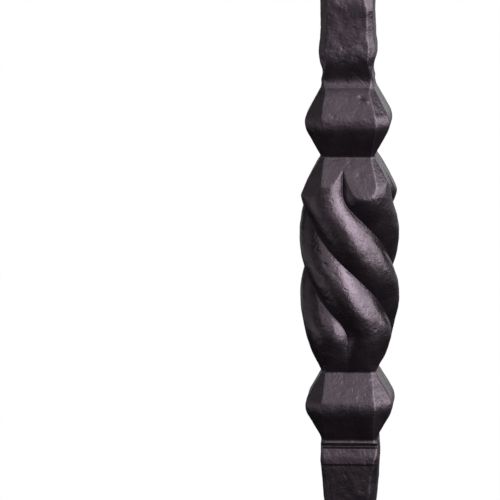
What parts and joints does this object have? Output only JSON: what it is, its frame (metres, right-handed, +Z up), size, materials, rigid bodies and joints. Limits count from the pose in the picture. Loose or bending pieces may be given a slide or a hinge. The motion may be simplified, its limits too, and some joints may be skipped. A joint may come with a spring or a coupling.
{
  "type": "iron stair baluster",
  "caption": "Upright iron stair baluster of hammered square bar with twisted barrel knots between chamfered knuckles, in a satin black coat; fills a stair or landing railing.",
  "frame": {"origin": "centre of the foot, where the bar is cut square", "axes": "+Z up along the bar, -Y to the front as pictured, +X to the right"},
  "size_m": [0.0338, 0.0338, 1.1176],
  "materials": {
    "black_iron": "satin black coat over forged iron, lightly pitted"
  },
  "bodies": {
    "root": {"baluster": "black_iron"}
  },
  "joints": []
}
